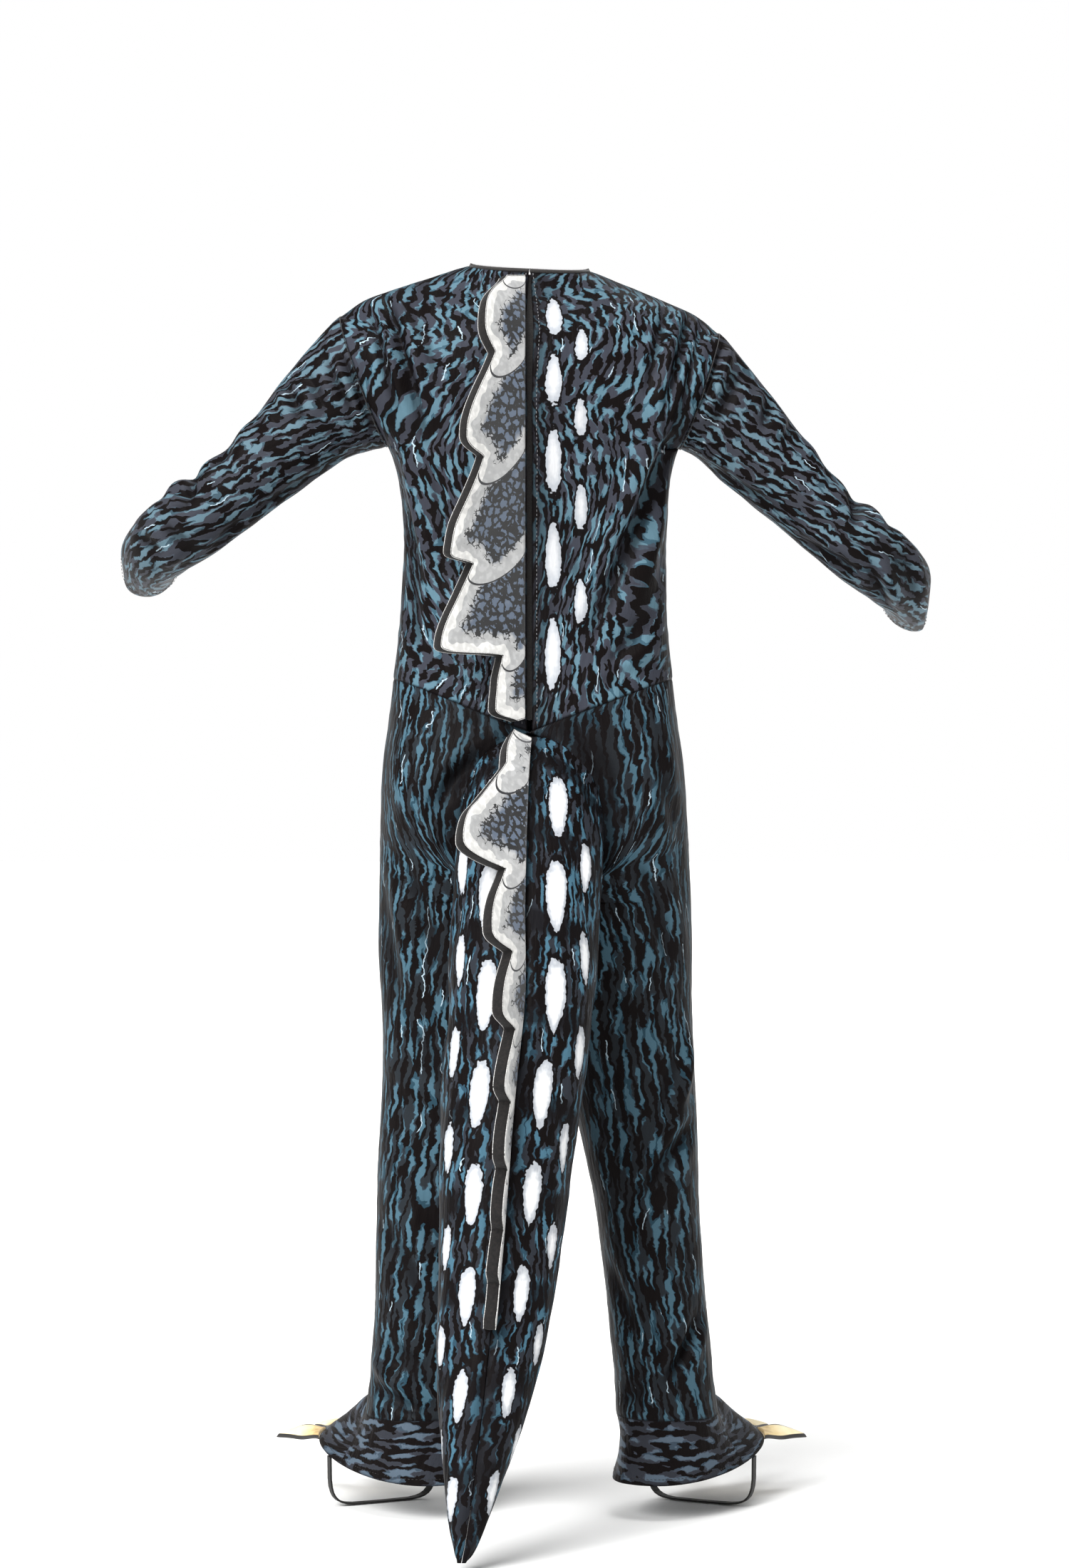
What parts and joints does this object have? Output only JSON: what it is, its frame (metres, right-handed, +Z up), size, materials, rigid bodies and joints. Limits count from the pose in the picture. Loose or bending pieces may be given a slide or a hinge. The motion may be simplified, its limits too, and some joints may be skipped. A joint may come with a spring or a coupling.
{
  "type": "reptile costume jumpsuit with stuffed tail",
  "caption": "Child's reptile jumpsuit, held in its worn pose: long sleeves and legs, stuffed tail, foam crest down the back, clawed foot covers.",
  "frame": {"origin": "on the centre line in the neck opening, at shoulder level, 1.0 m above the ground the garment is worn on", "axes": "+Z up, -Y the way the garment's back faces, +X towards the garment's right side"},
  "size_m": [0.6976, 0.4355, 1.0168],
  "materials": {
    "printed_knit": "printed polyester knit with a satin sheen",
    "crest_foam": "printed knit over thin foam",
    "claw_fabric": "cream knit over thin padding",
    "black_trim": "matt woven tape"
  },
  "bodies": {
    "root": {"bodice_back_left": "printed_knit", "bodice_back_right": "printed_knit", "bodice_front_left": "printed_knit", "bodice_front_right": "printed_knit", "closure_tape": "black_trim", "neck_binding": "black_trim", "sleeve_left": "printed_knit", "sleeve_right": "printed_knit", "leg_back_left": "printed_knit", "leg_front_left": "printed_knit", "leg_back_right": "printed_knit", "leg_front_right": "printed_knit", "tail_left": "printed_knit", "tail_right": "printed_knit", "crest_back": "crest_foam", "crest_tail": "crest_foam", "foot_cover_left": "printed_knit", "claw_left_1": "claw_fabric", "claw_left_2": "claw_fabric", "claw_left_3": "claw_fabric", "foot_strap_left": "black_trim", "foot_cover_right": "printed_knit", "claw_right_1": "claw_fabric", "claw_right_2": "claw_fabric", "claw_right_3": "claw_fabric", "foot_strap_right": "black_trim"}
  },
  "joints": []
}
